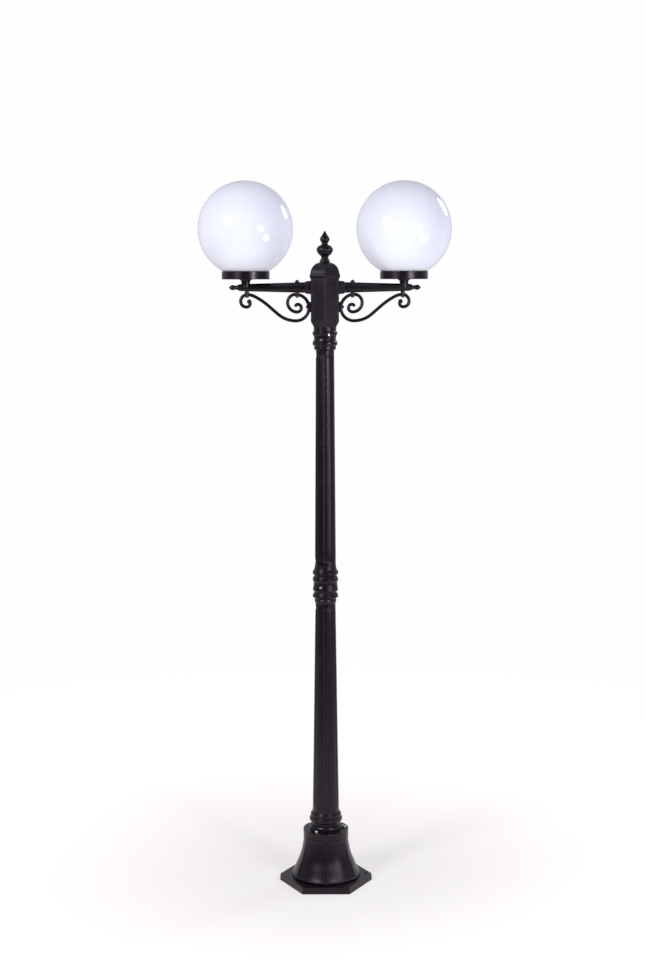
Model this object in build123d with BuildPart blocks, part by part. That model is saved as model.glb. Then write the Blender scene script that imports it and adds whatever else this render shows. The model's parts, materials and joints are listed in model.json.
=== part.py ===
"""Two-armed street lamp post: a sectional cast-aluminium column with two opal globes.

Millimetres, +Z up. The origin is the centre of the base plate's underside. The arms lie along
X and the front of the post faces -Y. Each piece is its own solid.
"""
import os
from math import cos, radians, sin, tan

from build123d import *

os.makedirs("parts", exist_ok=True)

# ---------------------------------------------------------------- driving dimensions
# Base casting: hexagonal plate and bell.
PLATE_CORNER_R = 126.8
PLATE_THICK = 18
PLATE_DRAFT = 4
ANCHOR_CIRCLE_R = 109
ANCHOR_HOLE_R = 5
BELL_TOP = 129.5
BELL_DECK = 12
BELL_MOUTH_R = 26
BELL_FOOT_R = 93
COLLAR_R = 61
LOBE_SETBACK = 18.5
RIB_WIDTH = 6

# Heights where the stacked castings meet, from the ground up.
FLANGE_TOP = 148.5
NECK_TOP = 163
LOWER_COLUMN_FOOT = 203
LOWER_COLUMN_TOP = 776
UPPER_COLUMN_FOOT = 878
UPPER_COLUMN_TOP = 1455
HEAD_NECK = 1515
BOX_FOOT = 1530
BOX_TOP = 1641
CAP_TOP = 1683.4
FINIAL_TOP = 1766.5

# Column sections.
FLANGE_R = 61.5
SOCKET_R = 31
DUCT_R = 22
LOWER_FOOT_R = 36
LOWER_TOP_R = 27.2
UPPER_FOOT_R = 28.2
UPPER_TOP_R = 24.3
SPIGOT_R = 23.8
SPIGOT_WALL = 4
HEAD_SPIGOT_R = 21
TOP_DUCT_R = 17.6
SOCKET_FLOOR = 136
LOWER_SPIGOT_TOP = 806
UPPER_SPIGOT_FOOT = 816
UPPER_SPIGOT_TOP = 1482
HEAD_SPIGOT_FOOT = 1485
FLUTES = 6
FLUTE_CUTTER_R = 6.2
FLUTE_DEPTH = 2.4
FLUTE_MARGIN = 10
PUSH_FIT = 0.1

# Head box, seen across its flats.
BOX_FLAT = 37
BOX_WALL = 4
BOX_EDGE_R = 1.2
PANEL_MARGIN = 4
PANEL_DEPTH = 0.8
BRIDGE_Z = 1632

# Arms. ARM_Z is the arms' axis and LAMP_X the lamps' axis.
ARM_Z = 1619
ARM_FLANGE_END = 51
ARM_END = 222
ARM_TIP = 252
ARM_FLANGE_HALF = 17
ARM_ROOT_HALF = 14
ARM_END_HALF = 9.3
LAMP_X = 208
WIRE_BORE_R = 5.2
BOSS_R = 11
BOSS_TOP = 1629.5
LEAD_R = 3
LEAD_BEND = 8
LEAD_X = 8
LEAD_LOW = 108.5

# Scroll bar and its pads.
BAR_R = 4.4
SCROLL_LOW = (76.3, 1531.7)
PAD_INNER_X = 73
PAD_OUTER_X = 205
BOX_PAD_Z = 1568
ARM_SCREW_R = 2.5
PAD_BOTTOM = 1595.2
BOX_SCREW_SEAT = 47.1

# Lamps.
GALLERY_FLOOR = 1640.4
GALLERY_TOP = 1661.2
GALLERY_R = 62.75
GALLERY_WALL = 2.5
GALLERY_BASE = 3
GLOBE_R = 125
GLOBE_WALL = 2.5
GLOBE_Z = 1771.3
NECK_R = 58.5
NECK_FOOT = 1647
SOCKET_SEAT = 1652
SOCKET_TOP = 1684
BULB_FOOT = 1656
BULB_SHOULDER = 1684.6
BULB_R = 30
BULB_WALL = 1.2
BULB_CENTRE = 1736

# Terminal block under the bell's deck.
DECK_UNDERSIDE = BELL_TOP - BELL_DECK
TERMINAL_Y = 37
TERMINAL_HEIGHT = 16
TERMINAL_SCREW_X = 14.5
DECK_THREAD = 8

# Fasteners.
BASE_SCREW_CIRCLE_R = 50
SET_SCREW_R = 3
MID_SCREW_Z = 822
MID_SCREW_ANGLE = 245.6
MID_SCREW_LENGTH = 9.45
TOP_SCREW_Z = 1495.5
TOP_SCREW_ANGLE = 290
TOP_SCREW_LENGTH = 10.8
STUD_R = 3
SMALL_SCREW_R = 1.5
THREAD_GAP = 0.05
NIPPLE_R = 5
NIPPLE_BORE_R = 3.6

STAND = (Align.CENTER, Align.CENTER, Align.MIN)
HANG = (Align.CENTER, Align.CENTER, Align.MAX)


# ---------------------------------------------------------------- shared shapes
def save(part, label):
    """Label one finished piece and write its STEP file."""
    part.label = label
    export_step(part, f"parts/{label}.step")


def turned_face(outline, bore, rounding):
    """Half section of a hollow turning; outline runs from foot to top as (radius, height)."""
    with BuildSketch(Plane.XZ) as section:
        with BuildLine():
            FilletPolyline(*outline, radius=rounding)
            foot, top = outline[0], outline[-1]
            Polyline(top, (bore, top[1]), (bore, foot[1]), foot)
        make_face()
    return section.sketch


def ring_face(inner, outer, low, high):
    """Half section of a plain ring."""
    with BuildSketch(Plane.XZ) as section:
        with BuildLine():
            Polyline((inner, low), (outer, low), (outer, high), (inner, high), close=True)
        make_face()
    return section.sketch


def six_sided(silhouette, reach):
    """Solid whose three pairs of flats all share one mirrored silhouette."""
    slab = extrude(silhouette, amount=reach, both=True, mode=Mode.PRIVATE)
    return slab & slab.rotate(Axis.Z, 60) & slab.rotate(Axis.Z, 120)


def six_flats(flat, mode=Mode.ADD):
    """Hexagon with flats facing +X and -X, given its centre-to-flat distance."""
    return RegularPolygon(flat, 6, major_radius=False, rotation=30, mode=mode)


def capsule(radius, length):
    """Round bar along Z with ball ends, centred on the origin."""
    with BuildPart() as bar:
        Cylinder(radius, length)
        with Locations((0, 0, length / 2), (0, 0, -length / 2)):
            Sphere(radius)
    return bar.part


def flutes(foot_z, foot_r, top_z, top_r):
    """Cutters that follow the taper between two heights and leave round-ended flutes."""
    length = top_z - foot_z - 2 * (FLUTE_MARGIN + FLUTE_CUTTER_R)
    lean = (foot_r - top_r) / (top_z - foot_z)
    middle_r = (foot_r + top_r) / 2 + FLUTE_CUTTER_R - FLUTE_DEPTH
    middle_z = (foot_z + top_z) / 2
    along = Plane(origin=(middle_r, 0, middle_z), x_dir=(1, 0, lean), z_dir=(-lean, 0, 1))
    cutter = along.location * capsule(FLUTE_CUTTER_R, length)
    return [cutter.rotate(Axis.Z, 360 / FLUTES * k + 30) for k in range(FLUTES)]


def radial_place(angle, radius, height):
    """Location around the post's axis whose Z points straight outwards."""
    outward = (cos(radians(angle)), sin(radians(angle)), 0)
    spot = (radius * outward[0], radius * outward[1], height)
    return Plane(origin=spot, x_dir=(0, 0, 1), z_dir=outward).location


def set_screw(length, head_r, head_height):
    """Socket screw along +Z from its tip, with a low head and a driving recess."""
    with BuildPart() as screw:
        Cylinder(SET_SCREW_R, length, align=STAND)
        with Locations((0, 0, length)):
            Cone(head_r, head_r - 1, head_height, align=STAND)
        with BuildSketch(Plane.XY.offset(length + head_height)):
            RegularPolygon(1.3, 6, major_radius=False)
        extrude(amount=-1.6, mode=Mode.SUBTRACT)
    return screw.part


def arm_half(x):
    """Half height of the tapering arm at a distance from the post's axis."""
    run = (x - ARM_FLANGE_END) / (ARM_END - ARM_FLANGE_END)
    return ARM_ROOT_HALF + run * (ARM_END_HALF - ARM_ROOT_HALF)


def arm_section(x, half):
    """Octagonal cross-section of an arm, flat on top."""
    with BuildSketch(Plane((x, 0, ARM_Z), x_dir=(0, 1, 0), z_dir=(1, 0, 0))) as section:
        RegularPolygon(half, 8, major_radius=False, rotation=22.5)
    return section.sketch


def save_pair(part, label):
    """Write a right-hand piece and the same piece turned half round for the left."""
    save(part, f"{label}_right")
    save(part.rotate(Axis.Z, 180), f"{label}_left")


def bell_lobe():
    """Turned solid whose +X flank is one panel of the bell; its axis stands behind the post's own."""
    with BuildPart() as lobe:
        with BuildSketch(Plane.XZ):
            with BuildLine():
                tread = Polyline(
                    (-LOBE_SETBACK, PLATE_THICK - 1), (BELL_FOOT_R - 3.5, PLATE_THICK - 1),
                    (BELL_FOOT_R - 3.5, PLATE_THICK + 1.6), (BELL_FOOT_R - 0.6, PLATE_THICK + 2.4),
                )
                lip = (BELL_FOOT_R, PLATE_THICK + 4)
                roll = ThreePointArc(tread @ 1, lip, (BELL_FOOT_R - 2, PLATE_THICK + 7))
                flare = Spline(
                    roll @ 1, (86.5, 34), (78.7, 53), (71.6, 70), (66.5, 87), (61.6, 113), (59.2, BELL_TOP)
                )
                Polyline(flare @ 1, (-LOBE_SETBACK, BELL_TOP), tread @ 0)
            make_face()
        revolve(axis=Axis((-LOBE_SETBACK, 0, 0), (0, 0, 1)))
    return lobe.part


# ---------------------------------------------------------------- base
with BuildPart() as base_casting:
    with BuildSketch():
        RegularPolygon(PLATE_CORNER_R, 6)
    extrude(amount=PLATE_THICK, taper=PLATE_DRAFT)
    fillet(base_casting.edges().filter_by(Plane.XY, reverse=True), 2.5)
    fillet(base_casting.faces().sort_by(Axis.Z)[-1].edges(), 1.2)
    bell = bell_lobe()
    for panel in range(1, 6):
        bell = bell & bell_lobe().rotate(Axis.Z, 60 * panel)
    add(bell)
    # Round collar under the flange, which the six panels run out into.
    with Locations((0, 0, BELL_TOP)):
        Cylinder(COLLAR_R, 9, align=HANG)
    # A raised rib runs down each of the bell's six corners.
    with BuildSketch(Plane.XZ, mode=Mode.PRIVATE) as rib:
        with BuildLine():
            spine = Spline((95.6, 21), (91.2, 30), (86, 44.5), (77.9, 62), (71.8, 79), (67.5, 96), (64, 112))
            Polyline(spine @ 1, (56, 112), (56, 21), spine @ 0)
        make_face()
    blade = extrude(rib.sketch, amount=RIB_WIDTH / 2, both=True, mode=Mode.PRIVATE)
    for corner in range(6):
        add(blade.rotate(Axis.Z, 60 * corner + 30))
    # Hollow for the ground cable and the terminals, open below.
    with BuildSketch(Plane.XZ):
        with BuildLine():
            wall = Spline((80, 0), (77, 24), (66, 60), (56, DECK_UNDERSIDE))
            Polyline(wall @ 1, (0, DECK_UNDERSIDE), (0, 0), wall @ 0)
        make_face()
    revolve(axis=Axis.Z, mode=Mode.SUBTRACT)
    Hole(BELL_MOUTH_R, depth=BELL_TOP * 2)
    with PolarLocations(ANCHOR_CIRCLE_R, 3):
        Hole(ANCHOR_HOLE_R, depth=PLATE_THICK * 2)
    with Locations(Plane.XY.offset(BELL_TOP)):
        with PolarLocations(BASE_SCREW_CIRCLE_R, 3):
            Hole(STUD_R, depth=BELL_DECK)
    with Locations(
        (-TERMINAL_SCREW_X, TERMINAL_Y, DECK_UNDERSIDE),
        (TERMINAL_SCREW_X, TERMINAL_Y, DECK_UNDERSIDE),
        (0, -TERMINAL_Y, DECK_UNDERSIDE),
    ):
        Cylinder(SMALL_SCREW_R + THREAD_GAP, 2 * DECK_THREAD, mode=Mode.SUBTRACT)
save(base_casting.part, "base_casting")

with BuildPart() as foot_flange:
    with BuildSketch(Plane.XZ):
        with BuildLine():
            rim = FilletPolyline(
                (DUCT_R + 3, BELL_TOP), (FLANGE_R, BELL_TOP), (FLANGE_R, FLANGE_TOP), (43.4, FLANGE_TOP),
                radius=1.2,
            )
            bulge = ThreePointArc(rim @ 1, (43, 156.5), (37.4, NECK_TOP))
            seat = Polyline(bulge @ 1, (SOCKET_R, NECK_TOP), (SOCKET_R, SOCKET_FLOOR))
            Polyline(seat @ 1, (DUCT_R + 3, SOCKET_FLOOR), rim @ 0)
        make_face()
    revolve(axis=Axis.Z)
    with Locations(Plane.XY.offset(FLANGE_TOP)):
        with PolarLocations(BASE_SCREW_CIRCLE_R, 3):
            Hole(STUD_R + THREAD_GAP, depth=FLANGE_TOP - BELL_TOP)
save(foot_flange.part, "foot_flange")

with BuildPart() as base_screws:
    with PolarLocations(BASE_SCREW_CIRCLE_R, 3):
        with Locations((0, 0, BELL_TOP - 9)):
            Cylinder(STUD_R - THREAD_GAP, FLANGE_TOP - BELL_TOP + 9, align=STAND)
        with Locations((0, 0, FLANGE_TOP)):
            Cylinder(5, 6, align=STAND)
    fillet(base_screws.edges().group_by(Axis.Z)[-1], 0.8)
    with BuildSketch(Plane.XY.offset(FLANGE_TOP + 6)):
        with PolarLocations(BASE_SCREW_CIRCLE_R, 3):
            RegularPolygon(2.5, 6, major_radius=False)
    extrude(amount=-3, mode=Mode.SUBTRACT)
save(base_screws.part, "base_screws")

with BuildPart() as terminal_block:
    with Locations((0, TERMINAL_Y, DECK_UNDERSIDE)):
        Box(38, 18, TERMINAL_HEIGHT, align=HANG)
    fillet(terminal_block.edges().filter_by(Axis.Z), 1.5)
    # A wire hole right through for each pole, and a screw well below it.
    for pole in (-LEAD_X, 0, LEAD_X):
        with Locations((pole, TERMINAL_Y, LEAD_LOW)):
            Cylinder(2.6, 30, rotation=(90, 0, 0), mode=Mode.SUBTRACT)
        with Locations((pole, TERMINAL_Y, DECK_UNDERSIDE - TERMINAL_HEIGHT)):
            Cylinder(2, 6, align=STAND, mode=Mode.SUBTRACT)
    with Locations((-TERMINAL_SCREW_X, TERMINAL_Y, LEAD_LOW), (TERMINAL_SCREW_X, TERMINAL_Y, LEAD_LOW)):
        Cylinder(SMALL_SCREW_R + THREAD_GAP, 30, mode=Mode.SUBTRACT)
save(terminal_block.part, "terminal_block")

with BuildPart() as terminal_screws:
    for side in (1, -1):
        with Locations((side * TERMINAL_SCREW_X, TERMINAL_Y, DECK_UNDERSIDE - TERMINAL_HEIGHT)):
            Cylinder(SMALL_SCREW_R, TERMINAL_HEIGHT + DECK_THREAD - 1, align=STAND)
            Cylinder(2.9, 2, align=HANG)
    fillet(terminal_screws.edges().group_by(Axis.Z)[0], 1)
save(terminal_screws.part, "terminal_screws")

with BuildPart() as earth_screw:
    with Locations((0, -TERMINAL_Y, DECK_UNDERSIDE)):
        Cylinder(SMALL_SCREW_R, DECK_THREAD - 1, align=STAND)
        Cylinder(5.5, 1, align=HANG)
        Cylinder(3.4, 4, align=HANG)
save(earth_screw.part, "earth_screw")


# ---------------------------------------------------------------- column
with BuildPart() as foot_coupling:
    rings = [
        (37.4, NECK_TOP), (37, 168), (44.5, 172.5), (44.5, 180), (40.5, 184),
        (41.5, 186), (41.5, 191.5), (36.6, 198), (LOWER_FOOT_R + 0.2, LOWER_COLUMN_FOOT),
    ]
    revolve(turned_face(rings, SOCKET_R, 1.6), axis=Axis.Z)
save(foot_coupling.part, "foot_coupling")

with BuildPart() as lower_column:
    with BuildSketch(Plane.XZ):
        with BuildLine():
            Polyline(
                (SOCKET_R - PUSH_FIT, SOCKET_FLOOR), (SOCKET_R - PUSH_FIT, LOWER_COLUMN_FOOT),
                (LOWER_FOOT_R, LOWER_COLUMN_FOOT), (LOWER_TOP_R, LOWER_COLUMN_TOP),
                (SPIGOT_R, LOWER_COLUMN_TOP), (SPIGOT_R, LOWER_SPIGOT_TOP),
                (SPIGOT_R - SPIGOT_WALL, LOWER_SPIGOT_TOP), (DUCT_R, LOWER_COLUMN_FOOT),
                (DUCT_R + 3, SOCKET_FLOOR), close=True,
            )
        make_face()
    revolve(axis=Axis.Z)
    for groove in flutes(LOWER_COLUMN_FOOT, LOWER_FOOT_R, LOWER_COLUMN_TOP, LOWER_TOP_R):
        add(groove, mode=Mode.SUBTRACT)
save(lower_column.part, "lower_column")

with BuildPart() as mid_coupling:
    waves = [
        (26.5, LOWER_COLUMN_TOP), (28.7, 779), (29.5, 784), (28.1, 788), (34.4, 793), (34.4, 798),
        (29.9, 806), (34.1, 812), (33.4, 817), (31.7, 828), (32.1, 834), (34.4, 838.5), (34.4, 843.5),
        (29.9, 851), (34.5, 856.5), (34.5, 861), (29.9, 869), (UPPER_FOOT_R + 0.2, UPPER_COLUMN_FOOT),
    ]
    revolve(turned_face(waves, SPIGOT_R - SPIGOT_WALL, 1.5), axis=Axis.Z)
    for low, high in ((LOWER_COLUMN_TOP, LOWER_SPIGOT_TOP), (UPPER_SPIGOT_FOOT, UPPER_COLUMN_FOOT)):
        revolve(ring_face(0, SPIGOT_R + PUSH_FIT, low, high), axis=Axis.Z, mode=Mode.SUBTRACT)
    for turn in (0, 180):
        with Locations(radial_place(MID_SCREW_ANGLE + turn, SPIGOT_R, MID_SCREW_Z)):
            Cylinder(SET_SCREW_R + THREAD_GAP, 20, align=STAND, mode=Mode.SUBTRACT)
save(mid_coupling.part, "mid_coupling")

with BuildPart() as mid_coupling_screws:
    for turn in (0, 180):
        with Locations(radial_place(MID_SCREW_ANGLE + turn, SPIGOT_R + PUSH_FIT, MID_SCREW_Z)):
            add(set_screw(MID_SCREW_LENGTH, SET_SCREW_R + 0.6, 1.4))
save(mid_coupling_screws.part, "mid_coupling_screws")

with BuildPart() as upper_column:
    with BuildSketch(Plane.XZ):
        with BuildLine():
            Polyline(
                (SPIGOT_R, UPPER_SPIGOT_FOOT), (SPIGOT_R, UPPER_COLUMN_FOOT),
                (UPPER_FOOT_R, UPPER_COLUMN_FOOT), (UPPER_TOP_R, UPPER_COLUMN_TOP),
                (HEAD_SPIGOT_R, UPPER_COLUMN_TOP), (HEAD_SPIGOT_R, UPPER_SPIGOT_TOP),
                (TOP_DUCT_R, UPPER_SPIGOT_TOP), (SPIGOT_R - SPIGOT_WALL, UPPER_SPIGOT_FOOT), close=True,
            )
        make_face()
    revolve(axis=Axis.Z)
    for groove in flutes(UPPER_COLUMN_FOOT, UPPER_FOOT_R, UPPER_COLUMN_TOP, UPPER_TOP_R):
        add(groove, mode=Mode.SUBTRACT)
save(upper_column.part, "upper_column")

with BuildPart() as top_coupling:
    waves = [
        (25.9, UPPER_COLUMN_TOP), (28.9, 1457), (28.9, 1466), (32.9, 1469.5), (32.9, 1476.5),
        (29.7, 1480), (28.7, 1485), (30.1, 1493), (32.9, 1496.5), (32.9, 1502), (29.9, 1505.5),
        (29.9, HEAD_NECK),
    ]
    revolve(turned_face(waves, HEAD_SPIGOT_R + PUSH_FIT, 1.4), axis=Axis.Z)
    for turn in (0, 180):
        with Locations(radial_place(TOP_SCREW_ANGLE + turn, HEAD_SPIGOT_R, TOP_SCREW_Z)):
            Cylinder(SET_SCREW_R + THREAD_GAP, 20, align=STAND, mode=Mode.SUBTRACT)
save(top_coupling.part, "top_coupling")

with BuildPart() as top_coupling_screws:
    for turn in (0, 180):
        with Locations(radial_place(TOP_SCREW_ANGLE + turn, HEAD_SPIGOT_R + PUSH_FIT, TOP_SCREW_Z)):
            add(set_screw(TOP_SCREW_LENGTH, SET_SCREW_R, 0.8))
save(top_coupling_screws.part, "top_coupling_screws")


# ---------------------------------------------------------------- head
with BuildPart() as head_box:
    with BuildSketch(Plane.XY.offset(HEAD_NECK)):
        six_flats(28.9)
    with BuildSketch(Plane.XY.offset(BOX_FOOT)):
        six_flats(BOX_FLAT)
    loft()
    with BuildSketch(Plane.XY.offset(BOX_FOOT)):
        six_flats(BOX_FLAT)
    extrude(amount=BOX_TOP - BOX_FOOT)
    fillet(head_box.edges().filter_by(Axis.Z), BOX_EDGE_R)
    # A shallow sunk panel on each flat leaves a raised frame along the box's edges.
    panel_width = 2 * BOX_FLAT * tan(radians(30)) - 2 * PANEL_MARGIN
    panel_height = BOX_TOP - BOX_FOOT - 2 * PANEL_MARGIN
    for k in range(6):
        face = Plane(radial_place(60 * k, BOX_FLAT, (BOX_FOOT + BOX_TOP) / 2))
        with BuildSketch(face):
            RectangleRounded(panel_height, panel_width, 1)
        extrude(amount=-PANEL_DEPTH, mode=Mode.SUBTRACT)
    # Pads inside the two side panels where the arm and the scroll bear.
    for side in (1, -1):
        for height, tall in ((ARM_Z, 38), (BOX_PAD_Z, 30)):
            with Locations((side * (BOX_FLAT - 2), 0, height)):
                Box(4, 34.2, tall)
    # Spigot into the coupling, the cavity above it and the wire way.
    revolve(ring_face(TOP_DUCT_R, HEAD_SPIGOT_R, HEAD_SPIGOT_FOOT, HEAD_NECK + 1), axis=Axis.Z)
    revolve(ring_face(0, TOP_DUCT_R, HEAD_SPIGOT_FOOT, BOX_TOP), axis=Axis.Z, mode=Mode.SUBTRACT)
    with BuildSketch(Plane.XY.offset(BOX_FOOT + 2)):
        six_flats(BOX_FLAT - BOX_WALL)
    extrude(amount=BOX_TOP - BOX_FOOT, mode=Mode.SUBTRACT)
    # Cross bridge that anchors the cap stud.
    with Locations((0, 0, BRIDGE_Z)):
        Box(12, 2 * (BOX_FLAT - 1), 7)
        Cylinder(STUD_R + THREAD_GAP, 10, mode=Mode.SUBTRACT)
    with Locations((0, 0, ARM_Z)):
        Cylinder(NIPPLE_R + THREAD_GAP, 100, rotation=(0, 90, 0), mode=Mode.SUBTRACT)
    with Locations((0, 0, BOX_PAD_Z)):
        Cylinder(ARM_SCREW_R + THREAD_GAP, 100, rotation=(0, 90, 0), mode=Mode.SUBTRACT)
save(head_box.part, "head_box")

with BuildSketch(Plane.XZ) as dome:
    with BuildLine():
        bead = ThreePointArc((BOX_FLAT, BOX_TOP), (40, 1648.5), (38, 1655.5))
        crown = Spline(bead @ 1, (36.6, 1663), (30.2, 1674.8), (16, CAP_TOP))
        Polyline(crown @ 1, (0, CAP_TOP), (0, BOX_TOP), bead @ 0)
    make_face()
    mirror(about=Plane.YZ)

with BuildSketch(Plane.XZ) as dome_hollow:
    with BuildLine():
        vault = Spline((30, BOX_TOP - 3), (30, 1656), (24, 1670), (9, 1678))
        Polyline(vault @ 1, (0, 1678), (0, BOX_TOP - 3), vault @ 0)
    make_face()
    mirror(about=Plane.YZ)

with BuildPart() as head_cap:
    add(six_sided(dome.sketch, 60))
    # Locating rim that drops inside the box.
    with BuildSketch(Plane.XY.offset(BOX_TOP - 3)):
        six_flats(BOX_FLAT - BOX_WALL - 0.3)
    extrude(amount=5)
    add(six_sided(dome_hollow.sketch, 60), mode=Mode.SUBTRACT)
    with Locations((0, 0, CAP_TOP)):
        Cylinder(STUD_R + THREAD_GAP, 20, mode=Mode.SUBTRACT)
save(head_cap.part, "head_cap")

with BuildPart() as cap_stud:
    with Locations((0, 0, BRIDGE_Z - 5)):
        Cylinder(STUD_R, CAP_TOP + 14 - BRIDGE_Z + 5, align=STAND)
    chamfer(cap_stud.edges().filter_by(GeomType.CIRCLE), 0.5)
save(cap_stud.part, "cap_stud")

with BuildPart() as finial:
    with BuildSketch(Plane.XZ):
        with BuildLine():
            foot = Line((0, CAP_TOP), (15.6, CAP_TOP))
            flare = ThreePointArc(foot @ 1, (13.6, 1686.4), (12.8, 1690.6))
            waist = ThreePointArc(flare @ 1, (9.4, 1696.5), (11, 1701))
            under = ThreePointArc(waist @ 1, (18.6, 1708.6), (21.8, 1716.6))
            over = ThreePointArc(under @ 1, (19.2, 1724), (10.4, 1729.3))
            throat = ThreePointArc(over @ 1, (8.1, 1733.6), (9.6, 1737.4))
            olive = ThreePointArc(throat @ 1, (12.8, 1744), (9.6, 1751.5))
            spire = ThreePointArc(olive @ 1, (5.4, 1758.5), (0.8, FINIAL_TOP))
            Polyline(spire @ 1, (0, FINIAL_TOP), foot @ 0)
        make_face()
    revolve(axis=Axis.Z)
    # Shallow lobes cast into the ball.
    for k in range(12):
        with Locations(radial_place(30 * k, 26.2, 1717)):
            Cylinder(5, 22, rotation=(0, 90, 0), mode=Mode.SUBTRACT)
    with Locations((0, 0, CAP_TOP)):
        Cylinder(STUD_R + THREAD_GAP, 28, mode=Mode.SUBTRACT)
save(finial.part, "finial")


# ---------------------------------------------------------------- arms and scrolls
with BuildPart() as arm:
    loft([arm_section(BOX_FLAT, ARM_FLANGE_HALF + 0.6), arm_section(ARM_FLANGE_END, ARM_FLANGE_HALF - 0.8)])
    loft([arm_section(ARM_FLANGE_END, ARM_ROOT_HALF), arm_section(ARM_END, ARM_END_HALF)])
    # Lamp boss.
    with Locations((LAMP_X, 0, ARM_Z)):
        Cylinder(BOSS_R, BOSS_TOP - ARM_Z, align=STAND)
    # Turned spear end.
    with BuildSketch(Plane.XZ):
        with BuildLine():
            collar = Polyline((ARM_END, ARM_Z), (ARM_END, ARM_Z + 9), (ARM_END + 3, ARM_Z + 9))
            neck = ThreePointArc(collar @ 1, (ARM_END + 8, ARM_Z + 6.2), (ARM_END + 14, ARM_Z + 5))
            spear = ThreePointArc(neck @ 1, (ARM_END + 19, ARM_Z + 6.8), (ARM_TIP, ARM_Z + 0.6))
            Polyline(spear @ 1, (ARM_TIP, ARM_Z), collar @ 0)
        make_face()
    revolve(axis=Axis((0, 0, ARM_Z), (1, 0, 0)))
    # Pointed knob on top, above the inner scroll pad.
    knob_foot = ARM_Z + arm_half(PAD_INNER_X) - 2
    with BuildSketch(Plane((PAD_INNER_X, 0, knob_foot), x_dir=(1, 0, 0), z_dir=(0, -1, 0))):
        with BuildLine():
            button = Polyline((0, 0), (6.2, 0), (6.2, 3))
            ogee = ThreePointArc(button @ 1, (4.4, 6), (0.6, 9))
            Polyline(ogee @ 1, (0, 9), button @ 0)
        make_face()
    revolve(axis=Axis((PAD_INNER_X, 0, 0), (0, 0, 1)))
    # Wire way along the arm and up through the boss.
    with Locations((BOX_FLAT, 0, ARM_Z)):
        Cylinder(WIRE_BORE_R, LAMP_X - BOX_FLAT, rotation=(0, 90, 0), align=STAND, mode=Mode.SUBTRACT)
    with Locations((LAMP_X, 0, ARM_Z)):
        Sphere(WIRE_BORE_R, mode=Mode.SUBTRACT)
        Cylinder(NIPPLE_R + THREAD_GAP, 20, align=STAND, mode=Mode.SUBTRACT)
    for x in (PAD_INNER_X, PAD_OUTER_X):
        with Locations((x, 0, ARM_Z - arm_half(x))):
            Cylinder(ARM_SCREW_R + THREAD_GAP, 7, mode=Mode.SUBTRACT)
save_pair(arm.part, "arm")


def bar_run(start, heading, arcs):
    """Chain of tangent arcs in the scroll's plane, each given as (radius, degrees turned)."""
    for radius, turn in arcs:
        arc = JernArc(start, heading, radius, turn)
        start, heading = arc @ 1, arc % 1
    return start


with BuildPart() as scroll:
    with BuildSketch(Plane((SCROLL_LOW[0], 0, SCROLL_LOW[1]), z_dir=(1, 0, 0))) as bar_section:
        Circle(BAR_R)
    # From its low point the bar rises along the arm to the small outer curl.
    with BuildLine(Plane.XZ) as outer_run:
        sweep_up = JernArc(SCROLL_LOW, (1, 0), 72, 41)
        slope = Line(sweep_up @ 1, sweep_up @ 1 + (sweep_up % 1) * 33.4)
        outer_end = bar_run(
            slope @ 1, slope % 1, [(180, -14), (42, -27), (17.4, -90), (15, -90), (10, -90), (5, -60)]
        )
    sweep(sections=bar_section.sketch, path=outer_run.line)
    # The other way it rounds the box pad and winds into the large curl.
    with BuildLine(Plane.XZ) as inner_run:
        curl = [(34.2, -90), (35, -90), (21, -90), (25, -90), (11, -90), (9, -90), (7, -50)]
        inner_end = bar_run(SCROLL_LOW, (-1, 0), curl)
    sweep(sections=bar_section.sketch, path=inner_run.line)
    with Locations(outer_end):
        Sphere(BAR_R + 1.8)
    with Locations(inner_end):
        Sphere(BAR_R)
    # Pads against the arm and the head box.
    for x in (PAD_INNER_X, PAD_OUTER_X):
        pad_top = ARM_Z - arm_half(x) - 0.2
        with Locations((x, 0, pad_top)):
            Cylinder(5.6, pad_top - PAD_BOTTOM, align=HANG)
            Cylinder(ARM_SCREW_R + THREAD_GAP, 40, mode=Mode.SUBTRACT)
    with Locations((BOX_FLAT, 0, BOX_PAD_Z)):
        Box(4.5, 11, 27, align=(Align.MIN, Align.CENTER, Align.CENTER))
    fillet(scroll.faces().sort_by(Axis.X)[0].edges().filter_by(Axis.Y), 1)
    with Locations((BOX_FLAT, 0, BOX_PAD_Z)):
        Cylinder(ARM_SCREW_R + THREAD_GAP, 30, rotation=(0, 90, 0), mode=Mode.SUBTRACT)
save_pair(scroll.part, "scroll")


def dome_screw(length):
    """Round-headed screw along +Z; its head hangs below the origin."""
    with BuildPart() as screw:
        Cylinder(ARM_SCREW_R, length, align=STAND)
        Cylinder(4.4, 3, align=HANG)
        fillet(screw.faces().sort_by(Axis.Z)[0].edges(), 2)
    return screw.part


with BuildPart() as scroll_arm_screws:
    for side in (1, -1):
        for x in (PAD_INNER_X, PAD_OUTER_X):
            with Locations((side * x, 0, PAD_BOTTOM)):
                add(dome_screw(ARM_Z - arm_half(x) + 3 - PAD_BOTTOM))
save(scroll_arm_screws.part, "scroll_arm_screws")

with BuildPart() as scroll_box_screws:
    for angle in (0, 180):
        with Locations(radial_place(angle, BOX_SCREW_SEAT, BOX_PAD_Z)):
            add(dome_screw(14).rotate(Axis.X, 180))
save(scroll_box_screws.part, "scroll_box_screws")

with BuildPart() as arm_nipples:
    for angle in (0, 180):
        with Locations(radial_place(angle, BOX_FLAT - BOX_WALL - 8, ARM_Z)):
            Cylinder(NIPPLE_R, 23, align=STAND)
            Cylinder(NIPPLE_BORE_R, 60, mode=Mode.SUBTRACT)
save(arm_nipples.part, "arm_nipples")

with BuildPart() as arm_nuts:
    for angle in (0, 180):
        with BuildSketch(Plane(radial_place(angle, BOX_FLAT - BOX_WALL, ARM_Z))):
            RegularPolygon(8.5, 6, major_radius=False)
            Circle(NIPPLE_R + THREAD_GAP, mode=Mode.SUBTRACT)
        extrude(amount=-5)
save(arm_nuts.part, "arm_nuts")


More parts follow.
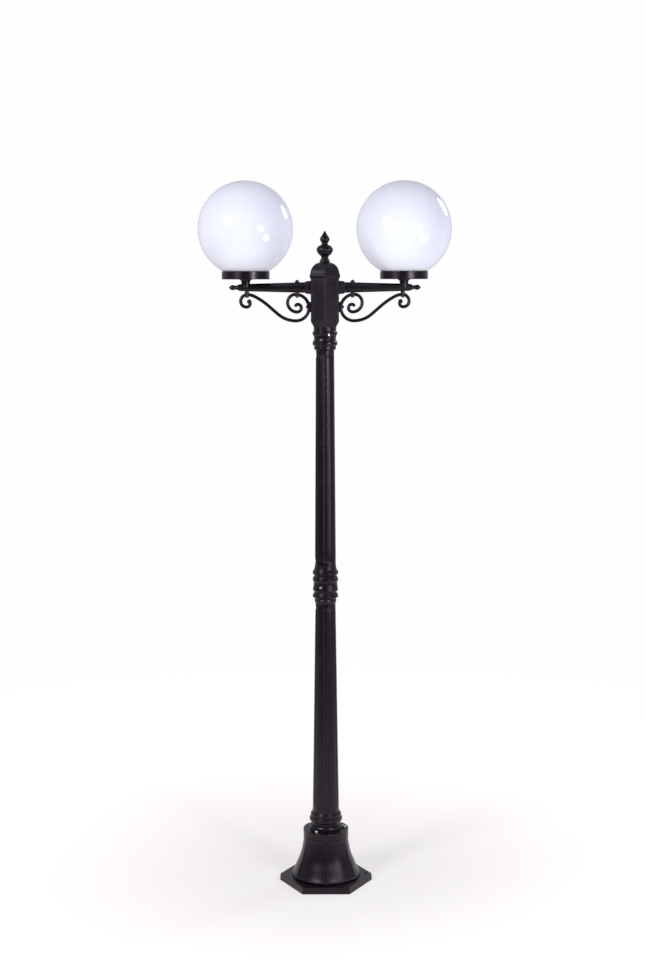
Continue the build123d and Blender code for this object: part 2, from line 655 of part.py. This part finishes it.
# ---------------------------------------------------------------- lamps
with BuildPart() as holder_stem:
    with BuildSketch(Plane.XZ):
        with BuildLine():
            stem_foot = Polyline((NIPPLE_R + THREAD_GAP, BOSS_TOP), (11.4, BOSS_TOP), (11.4, BOSS_TOP + 2))
            horn = ThreePointArc(stem_foot @ 1, (12.6, 1636.5), (16.6, GALLERY_FLOOR - 1.2))
            Polyline(
                horn @ 1, (16.6, GALLERY_FLOOR), (NIPPLE_R + THREAD_GAP, GALLERY_FLOOR), stem_foot @ 0
            )
        make_face()
    revolve(axis=Axis.Z)
save_pair(Pos(LAMP_X, 0, 0) * holder_stem.part, "holder_stem")

with BuildPart() as gallery:
    floor_top = GALLERY_FLOOR + GALLERY_BASE
    with BuildSketch(Plane.XZ):
        with BuildLine():
            skirt = FilletPolyline(
                (NIPPLE_R + THREAD_GAP, GALLERY_FLOOR), (GALLERY_R, GALLERY_FLOOR), (GALLERY_R, GALLERY_TOP),
                (GALLERY_R - GALLERY_WALL, GALLERY_TOP), (GALLERY_R - GALLERY_WALL, floor_top),
                (NIPPLE_R + THREAD_GAP, floor_top), radius=(1.5, 0.6, 0.6, 1),
            )
            Line(skirt @ 1, skirt @ 0)
        make_face()
    revolve(axis=Axis.Z)
save_pair(Pos(LAMP_X, 0, 0) * gallery.part, "gallery")

with BuildPart() as globe_gasket:
    revolve(ring_face(NECK_R - 6, NECK_R + 0.5, floor_top, NECK_FOOT - 0.4), axis=Axis.Z)
save_pair(Pos(LAMP_X, 0, 0) * globe_gasket.part, "globe_gasket")

with BuildPart() as holder_nipple:
    revolve(ring_face(NIPPLE_BORE_R, NIPPLE_R, ARM_Z + LEAD_BEND + 0.3, SOCKET_SEAT - 0.5), axis=Axis.Z)
save_pair(Pos(LAMP_X, 0, 0) * holder_nipple.part, "holder_nipple")

with BuildPart() as lamp_socket:
    body = [
        (15, floor_top), (16.5, floor_top), (16.5, floor_top + 8), (19, floor_top + 10),
        (19, SOCKET_TOP - 14), (20.5, SOCKET_TOP - 12), (20.5, SOCKET_TOP), (17, SOCKET_TOP),
    ]
    revolve(turned_face(body, NIPPLE_R + THREAD_GAP, 0.6), axis=Axis.Z)
    revolve(ring_face(0, 14.2, SOCKET_SEAT, SOCKET_TOP), axis=Axis.Z, mode=Mode.SUBTRACT)
save_pair(Pos(LAMP_X, 0, 0) * lamp_socket.part, "lamp_socket")

with BuildPart() as bulb_cap:
    thread = [(12.4, BULB_FOOT + 5)]
    for k in range(5):
        thread += [(13.4, BULB_FOOT + 6.5 + 3.6 * k), (12.7, BULB_FOOT + 8.3 + 3.6 * k)]
    thread += [(13.4, BULB_SHOULDER - 2), (13.4, BULB_SHOULDER)]
    revolve(turned_face(thread, 11.8, 0.4), axis=Axis.Z)
    # Insulated end with its centre contact.
    with Locations((0, 0, BULB_FOOT)):
        Cylinder(4.5, 2, align=STAND)
    with Locations((0, 0, BULB_FOOT + 1.5)):
        Cone(6, 12.4, 4.5, align=STAND)
save_pair(Pos(LAMP_X, 0, 0) * bulb_cap.part, "bulb_cap")

with BuildPart() as bulb_glass:
    for shrink, mode in ((0, Mode.ADD), (BULB_WALL, Mode.SUBTRACT)):
        with BuildSketch(Plane.XZ):
            with BuildLine():
                base = Line((0, BULB_SHOULDER), (13.4 - shrink, BULB_SHOULDER))
                widest = (BULB_R - shrink, BULB_CENTRE)
                flank = Spline(base @ 1, (20.5 - shrink, 1706), widest, tangents=[(0.15, 1), (0, 1)])
                crown = CenterArc((0, BULB_CENTRE), BULB_R - shrink, 0, 90)
                Line(crown @ 1, base @ 0)
            make_face()
        revolve(axis=Axis.Z, mode=mode)
save_pair(Pos(LAMP_X, 0, 0) * bulb_glass.part, "bulb_glass")

with BuildPart() as globe:
    Sphere(GLOBE_R)
    Cylinder(NECK_R, 2 * GLOBE_R, align=HANG)
    Sphere(GLOBE_R - GLOBE_WALL, mode=Mode.SUBTRACT)
    Cylinder(NECK_R - GLOBE_WALL, 2 * GLOBE_R, align=HANG, mode=Mode.SUBTRACT)
    split(bisect_by=Plane.XY.offset(NECK_FOOT - GLOBE_Z), keep=Keep.TOP)
save_pair(Pos(LAMP_X, 0, GLOBE_Z) * globe.part, "globe")

with BuildPart() as lamp_lead:
    with BuildLine() as lead_route:
        FilletPolyline(
            (LEAD_X, 27.8, LEAD_LOW), (LEAD_X, 0, LEAD_LOW), (LEAD_X, 0, ARM_Z), (LAMP_X, 0, ARM_Z),
            (LAMP_X, 0, SOCKET_SEAT - 1), radius=(15, 14, LEAD_BEND),
        )
    with BuildSketch(Plane((LEAD_X, 27.8, LEAD_LOW), z_dir=(0, -1, 0))):
        Circle(LEAD_R)
    sweep(path=lead_route.line)
save(lamp_lead.part, "lamp_lead_right")
save(mirror(lamp_lead.part, about=Plane.YZ), "lamp_lead_left")
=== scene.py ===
import json
import math
import bpy
from mathutils import Matrix, Vector

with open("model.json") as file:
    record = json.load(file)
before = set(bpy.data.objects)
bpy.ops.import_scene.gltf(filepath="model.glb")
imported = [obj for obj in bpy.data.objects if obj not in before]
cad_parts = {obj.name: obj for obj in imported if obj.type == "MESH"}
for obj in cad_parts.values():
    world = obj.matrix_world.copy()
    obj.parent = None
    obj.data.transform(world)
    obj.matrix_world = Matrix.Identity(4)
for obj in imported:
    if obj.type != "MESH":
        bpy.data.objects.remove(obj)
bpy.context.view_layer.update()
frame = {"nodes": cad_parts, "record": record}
nodes = frame["nodes"]

# Metres, in the frame of the CAD model.
# Height and half width of the band of painted shade in the gap under the flange.
FLANGE_JOINT_Z = 0.1295
PAINTED_GAP_SHADE_HALF_WIDTH = 0.0012
EDGE_ROUNDING_RADIUS = 0.0012
CREASE_REACH = 0.006

FLOOR_HALF_SIZE = 5.0
GLOW_NEAR, GLOW_FAR = 0.25, 1.4
FADE_NEAR, FADE_FAR = 1.1, 2.6

CAMERA_PLACE = (-0.006, -4.24, 1.628)
CAMERA_PITCH_DOWN = 7.16
CAMERA_ROLL = -0.12
SENSOR_WIDTH = 36
IMAGE_HEIGHT = 970
FOCAL_LENGTH_IN_PIXELS = 1600


# ---------------------------------------------------------------- shader helpers

def new_material(name, colour, roughness, metallic=0.0):
    """A principled material and its shader."""
    made = bpy.data.materials.new(name)
    made.use_nodes = True
    made.diffuse_color = (*colour, 1)
    shader = made.node_tree.nodes["Principled BSDF"]
    shader.inputs["Base Color"].default_value = (*colour, 1)
    shader.inputs["Roughness"].default_value = roughness
    shader.inputs["Metallic"].default_value = metallic
    return made, shader


def add_node(tree, kind, **inputs):
    """A node with its inputs set by name."""
    made = tree.nodes.new(kind)
    for key, value in inputs.items():
        made.inputs[key.replace("_", " ")].default_value = value
    return made


def add_math(tree, kind, operation):
    made = tree.nodes.new(kind)
    made.operation = operation
    return made


def place(tree):
    """Object coordinates, in metres."""
    return tree.nodes.new("ShaderNodeTexCoord").outputs["Object"]


def noise(tree, scale, detail=3.0, roughness=0.55, stretch=(1, 1, 1)):
    """A cloud of values around 0.5, stretched where stretch is below 1."""
    mapping = add_node(tree, "ShaderNodeMapping", Scale=stretch)
    tree.links.new(place(tree), mapping.inputs["Vector"])
    made = add_node(tree, "ShaderNodeTexNoise", Scale=scale, Detail=detail, Roughness=roughness)
    tree.links.new(mapping.outputs["Vector"], made.inputs["Vector"])
    return made.outputs["Fac"]


def spread(tree, value, low, high, start=0.3, end=0.7):
    """Maps start..end of a value onto low..high."""
    made = add_node(
        tree, "ShaderNodeMapRange", From_Min=start, From_Max=end, To_Min=low, To_Max=high
    )
    tree.links.new(value, made.inputs["Value"])
    return made.outputs["Result"]


def two_tone(tree, value, first, second, start=0.35, end=0.65):
    """A ramp from the first colour to the second."""
    made = tree.nodes.new("ShaderNodeValToRGB")
    ramp = made.color_ramp.elements
    ramp[0].position = start
    ramp[0].color = (*first, 1)
    ramp[1].position = end
    ramp[1].color = (*second, 1)
    tree.links.new(value, made.inputs["Fac"])
    return made.outputs["Color"]


def blend(tree, amount, under, over):
    """Lays one plain colour over another, by amount."""
    made = add_node(tree, "ShaderNodeMix")
    made.data_type = "RGBA"
    tree.links.new(amount, made.inputs["Factor"])
    tree.links.new(under, made.inputs["A"])
    made.inputs["B"].default_value = (*over, 1)
    return made.outputs["Result"]


def bump(tree, height, distance, strength, under=None):
    """A normal raised by height, on top of the normal given as under."""
    made = add_node(tree, "ShaderNodeBump", Strength=strength, Distance=distance)
    tree.links.new(height, made.inputs["Height"])
    if under is not None:
        tree.links.new(under, made.inputs["Normal"])
    return made.outputs["Normal"]


# ---------------------------------------------------------------- powder coat

def edge_wear_and_highlight(tree, rounded):
    """Mask for edges lightened partly by wear and partly as a painted highlight: 0 on faces and in
    creases, up to 0.75 on outer edges.
    """
    flat = tree.nodes.new("ShaderNodeNewGeometry").outputs["Normal"]
    turned = add_math(tree, "ShaderNodeVectorMath", "DOT_PRODUCT")
    tree.links.new(rounded, turned.inputs[0])
    tree.links.new(flat, turned.inputs[1])
    open_air = add_node(tree, "ShaderNodeAmbientOcclusion", Distance=CREASE_REACH)
    open_air.samples = 4
    wear_and_highlight = add_math(tree, "ShaderNodeMath", "MULTIPLY")
    tree.links.new(spread(tree, turned.outputs["Value"], 0.75, 0.0, 0.75, 0.985), wear_and_highlight.inputs[0])
    tree.links.new(spread(tree, open_air.outputs["AO"], 0.0, 1.0, 0.78, 0.96), wear_and_highlight.inputs[1])
    return wear_and_highlight.outputs["Value"]


def painted_gap_shade_mask(tree):
    """1 in the shadow gap under the flange, and 0 elsewhere: the band where painted shade darkens the
    coat.
    """
    height = tree.nodes.new("ShaderNodeSeparateXYZ")
    tree.links.new(place(tree), height.inputs["Vector"])
    joint = add_math(tree, "ShaderNodeMath", "COMPARE")
    joint.inputs[1].default_value = FLANGE_JOINT_Z
    joint.inputs[2].default_value = PAINTED_GAP_SHADE_HALF_WIDTH
    tree.links.new(height.outputs["Z"], joint.inputs[0])
    return joint.outputs["Value"]


def powder_coat(name, dark, pale, rough_low, rough_high):
    """Satin black powder coat: orange peel over the faint waves of a casting, with its outer edges
    lightened partly by wear and partly as a painted highlight, and painted shade in the gap under the
    flange.
    """
    made, shader = new_material(name, pale, rough_high)
    tree = made.node_tree
    edges = add_node(tree, "ShaderNodeBevel", Radius=EDGE_ROUNDING_RADIUS)
    edges.samples = 4
    rounded = edges.outputs["Normal"]

    tone = two_tone(tree, noise(tree, 9.0, 4.0, 0.6, stretch=(1, 1, 0.35)), dark, pale)
    specks = spread(tree, noise(tree, 900.0, 2.0), 0.0, 0.25, 0.58, 0.75)
    dusty = blend(tree, specks, tone, (0.016, 0.013, 0.016))
    # Painted highlight: a pale colour along outer edges stands in for the highlight on their rounding, on
    # top of real wear.
    rubbed_and_highlit = blend(tree, edge_wear_and_highlight(tree, rounded), dusty, (0.16, 0.148, 0.175))
    tree.links.new(rubbed_and_highlit, shader.inputs["Base Color"])

    # Painted shade: the specular level drops in a thin band at the flange's lower edge, drawing its shadow
    # gap as a dark line.
    gloss_with_painted_gap_shade = spread(tree, painted_gap_shade_mask(tree), 0.32, 0.02, 0.0, 1.0)
    tree.links.new(gloss_with_painted_gap_shade, shader.inputs["Specular IOR Level"])
    shader.inputs["Specular Tint"].default_value = (0.97, 0.83, 1.0, 1)
    satin = spread(tree, noise(tree, 26.0, 5.0, 0.6), rough_low, rough_high)
    tree.links.new(satin, shader.inputs["Roughness"])

    waves = bump(tree, noise(tree, 34.0, 2.0, 0.5), 0.0009, 0.18, under=rounded)
    peel = bump(tree, noise(tree, 620.0, 2.0, 0.5), 0.00016, 0.5, under=waves)
    tree.links.new(peel, shader.inputs["Normal"])
    return made


# ---------------------------------------------------------------- other materials

def opal(name, first, second):
    """Opal acrylic: a milky, faintly blue white under a polished skin."""
    made, shader = new_material(name, second, 0.07)
    tree = made.node_tree
    milk = two_tone(tree, noise(tree, 14.0, 2.0, 0.4), first, second)
    tree.links.new(milk, shader.inputs["Base Color"])
    tree.links.new(spread(tree, noise(tree, 40.0), 0.05, 0.10), shader.inputs["Roughness"])
    shader.inputs["IOR"].default_value = 1.49
    ripple = bump(tree, noise(tree, 18.0, 1.0, 0.3), 0.0004, 0.25)
    tree.links.new(ripple, shader.inputs["Normal"])
    return made


def metal(name, first, second, rough_low, rough_high, scale=180.0):
    """Turned or plated metal with fine brushed streaks."""
    made, shader = new_material(name, second, rough_high, 1.0)
    tree = made.node_tree
    streaks = noise(tree, scale, 4.0, 0.6, stretch=(1, 1, 7))
    tree.links.new(two_tone(tree, streaks, first, second), shader.inputs["Base Color"])
    tree.links.new(spread(tree, streaks, rough_low, rough_high), shader.inputs["Roughness"])
    tree.links.new(bump(tree, streaks, 0.00005, 0.4), shader.inputs["Normal"])
    return made


def moulded(name, first, second, roughness, grain=0.00008):
    """Moulded plastic, ceramic, rubber or frosted glass with a fine grain."""
    made, shader = new_material(name, second, roughness)
    tree = made.node_tree
    tree.links.new(two_tone(tree, noise(tree, 60.0), first, second), shader.inputs["Base Color"])
    dull = spread(tree, noise(tree, 300.0), roughness * 0.85, roughness * 1.1)
    tree.links.new(dull, shader.inputs["Roughness"])
    tree.links.new(bump(tree, noise(tree, 1100.0, 2.0), grain, 0.6), shader.inputs["Normal"])
    return made


SMOOTH = 0.00003

LOOKS = {
    "black_coating": powder_coat(
        "black_powder_coat", (0.003, 0.0019, 0.0029), (0.006, 0.0039, 0.0058), 0.28, 0.36
    ),
    "black_screw": metal("blackened_steel", (0.05, 0.05, 0.055), (0.08, 0.08, 0.085), 0.3, 0.45),
    "bright_screw": metal("zinc_plate", (0.62, 0.61, 0.6), (0.8, 0.79, 0.77), 0.2, 0.34),
    "brass": metal("warm_brass", (0.66, 0.45, 0.3), (0.8, 0.6, 0.42), 0.22, 0.36),
    "bulb_metal": metal(
        "bulb_cap_metal", (0.62, 0.62, 0.62), (0.78, 0.77, 0.75), 0.22, 0.36, scale=90.0
    ),
    "socket_white": moulded("socket_white", (0.83, 0.82, 0.78), (0.88, 0.87, 0.84), 0.22, SMOOTH),
    "terminal_plastic": moulded("terminal_white", (0.74, 0.73, 0.69), (0.82, 0.81, 0.77), 0.45),
    "cable_sheath": moulded("cable_sheath", (0.66, 0.66, 0.64), (0.74, 0.74, 0.72), 0.55),
    "seal": moulded("seal_rubber", (0.012, 0.012, 0.012), (0.025, 0.025, 0.025), 0.72),
    "bulb_glass": moulded("frosted_bulb", (0.86, 0.86, 0.84), (0.93, 0.93, 0.91), 0.35, SMOOTH),
    "opal": opal("opal_acrylic", (0.815, 0.835, 0.915), (0.835, 0.855, 0.93)),
}

for part in frame["record"]["subparts"]:
    slots = nodes[part["node"]].data.materials
    slots.clear()
    slots.append(LOOKS[part["material_slot"]])


# ---------------------------------------------------------------- stage

def world_light():
    """White studio: bright behind the object, dim towards the camera, and plain white where it is seen."""
    world = bpy.data.worlds.new("studio")
    bpy.context.scene.world = world
    world.use_nodes = True
    tree = world.node_tree
    room = tree.nodes["Background"]
    axes = tree.nodes.new("ShaderNodeSeparateXYZ")
    ray = tree.nodes.new("ShaderNodeTexCoord").outputs["Generated"]
    tree.links.new(ray, axes.inputs["Vector"])
    behind = spread(tree, axes.outputs["Y"], 0.0, 1.0, -1.0, 1.0)
    glow = tree.nodes.new("ShaderNodeValToRGB")
    ramp = glow.color_ramp.elements
    ramp[0].position = 0.3
    ramp[0].color = (0.05, 0.047, 0.065, 1)
    ramp[1].position = 0.75
    ramp[1].color = (0.58, 0.56, 0.62, 1)
    ramp.new(0.5).color = (0.42, 0.415, 0.475, 1)
    tree.links.new(behind, glow.inputs["Fac"])
    tree.links.new(glow.outputs["Color"], room.inputs["Color"])
    paper = add_node(tree, "ShaderNodeBackground", Color=(0.991, 0.991, 0.991, 1), Strength=1.0)
    seen = tree.nodes.new("ShaderNodeLightPath").outputs["Is Camera Ray"]
    both = tree.nodes.new("ShaderNodeMixShader")
    tree.links.new(seen, both.inputs["Fac"])
    tree.links.new(room.outputs["Background"], both.inputs[1])
    tree.links.new(paper.outputs["Background"], both.inputs[2])
    tree.links.new(both.outputs["Shader"], tree.nodes["World Output"].inputs["Surface"])


def lamp(name, stand, aim, diameter, watts, colour):
    """A round soft light that isn't itself seen by the camera."""
    light = bpy.data.lights.new(name, "AREA")
    light.shape = "DISK"
    light.size = diameter
    light.energy = watts
    light.color = colour
    made = bpy.data.objects.new(name, light)
    bpy.context.scene.collection.objects.link(made)
    made.location = stand
    made.visible_camera = False
    made.rotation_euler = (Vector(aim) - Vector(stand)).to_track_quat("-Z", "Y").to_euler()


def floor():
    """A pale paper floor with a weak glow of its own, fading out into the white backdrop."""
    low, high = -FLOOR_HALF_SIZE, FLOOR_HALF_SIZE
    mesh = bpy.data.meshes.new("floor")
    corners = [(low, low, 0), (high, low, 0), (high, high, 0), (low, high, 0)]
    mesh.from_pydata(corners, [], [(0, 1, 2, 3)])
    made = bpy.data.objects.new("floor", mesh)
    bpy.context.scene.collection.objects.link(made)
    paper, shader = new_material("paper", (0.86, 0.83, 0.83), 0.9)
    paper.blend_method = "BLEND"
    tree = paper.node_tree
    tone = two_tone(tree, noise(tree, 0.9, 1.0), (0.33, 0.32, 0.31), (0.36, 0.35, 0.34))
    tree.links.new(tone, shader.inputs["Base Color"])
    reach = add_math(tree, "ShaderNodeVectorMath", "LENGTH")
    tree.links.new(place(tree), reach.inputs[0])
    distance = reach.outputs["Value"]
    tree.links.new(spread(tree, distance, 1.0, 0.0, FADE_NEAR, FADE_FAR), shader.inputs["Alpha"])
    shader.inputs["Emission Color"].default_value = (1.0, 0.965, 0.945, 1)
    own_glow = spread(tree, distance, 0.56, 0.88, GLOW_NEAR, GLOW_FAR)
    tree.links.new(own_glow, shader.inputs["Emission Strength"])
    mesh.materials.append(paper)


def camera():
    """The photograph's viewpoint: a little above head height, looking slightly down."""
    data = bpy.data.cameras.new("camera")
    data.sensor_width = SENSOR_WIDTH
    data.lens = FOCAL_LENGTH_IN_PIXELS / IMAGE_HEIGHT * SENSOR_WIDTH
    data.clip_end = 100
    made = bpy.data.objects.new("camera", data)
    bpy.context.scene.collection.objects.link(made)
    made.rotation_mode = "QUATERNION"
    made.location = CAMERA_PLACE
    tilt = Matrix.Rotation(math.radians(90 - CAMERA_PITCH_DOWN), 4, "X")
    roll = Matrix.Rotation(math.radians(CAMERA_ROLL), 4, "Z")
    made.rotation_quaternion = (tilt @ roll).to_quaternion()
    bpy.context.scene.camera = made


world_light()
lamp("front_right", (1.25, -1.75, 1.7), (0, 0, 0.9), 0.5, 25, (0.94, 0.95, 1.0))
lamp("low_right", (1.75, -1.35, 0.9), (0, 0, 0.8), 0.8, 8, (0.9, 0.92, 1.0))
lamp("front_left", (-2.1, -2.3, 2.6), (0, 0, 1.1), 1.1, 84, (0.965, 0.97, 1.0))
lamp("back_right", (1.84, 1.5, 2.7), (0, 0, 1.2), 0.8, 18, (0.82, 0.88, 1.0))
floor()
camera()
bpy.context.scene.view_settings.view_transform = "Standard"
